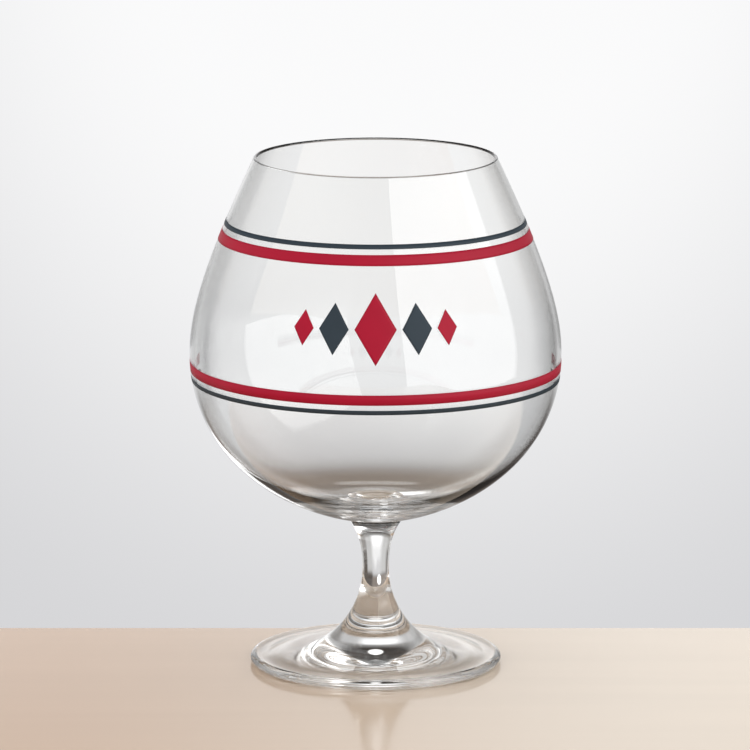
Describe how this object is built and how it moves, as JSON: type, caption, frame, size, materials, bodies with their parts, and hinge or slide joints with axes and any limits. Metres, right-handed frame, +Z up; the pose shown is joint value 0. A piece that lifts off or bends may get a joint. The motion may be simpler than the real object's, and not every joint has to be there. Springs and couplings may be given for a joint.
{
  "type": "brandy snifter",
  "caption": "Clear glass brandy snifter with a wide bowl closing to its mouth, a short waisted stem, a round foot and striped enamel print.",
  "frame": {"origin": "centre of the resting ring, in the plane on which the foot stands", "axes": "+Z up along the glass's axis of turning, -Y out through the middle of the print, +X to the right as one faces the print"},
  "size_m": [0.1082, 0.1082, 0.15],
  "materials": {
    "clear_glass": "fire-polished, clear",
    "crimson_enamel": "fired enamel print, satin",
    "slate_enamel": "fired enamel print, satin"
  },
  "bodies": {
    "root": {"foot": "clear_glass", "stem": "clear_glass", "bowl": "clear_glass", "upper_crimson_stripe": "crimson_enamel", "upper_slate_hairline": "slate_enamel", "lower_crimson_stripe": "crimson_enamel", "lower_slate_hairline": "slate_enamel", "crimson_lozenges": "crimson_enamel", "slate_lozenges": "slate_enamel"}
  },
  "joints": []
}
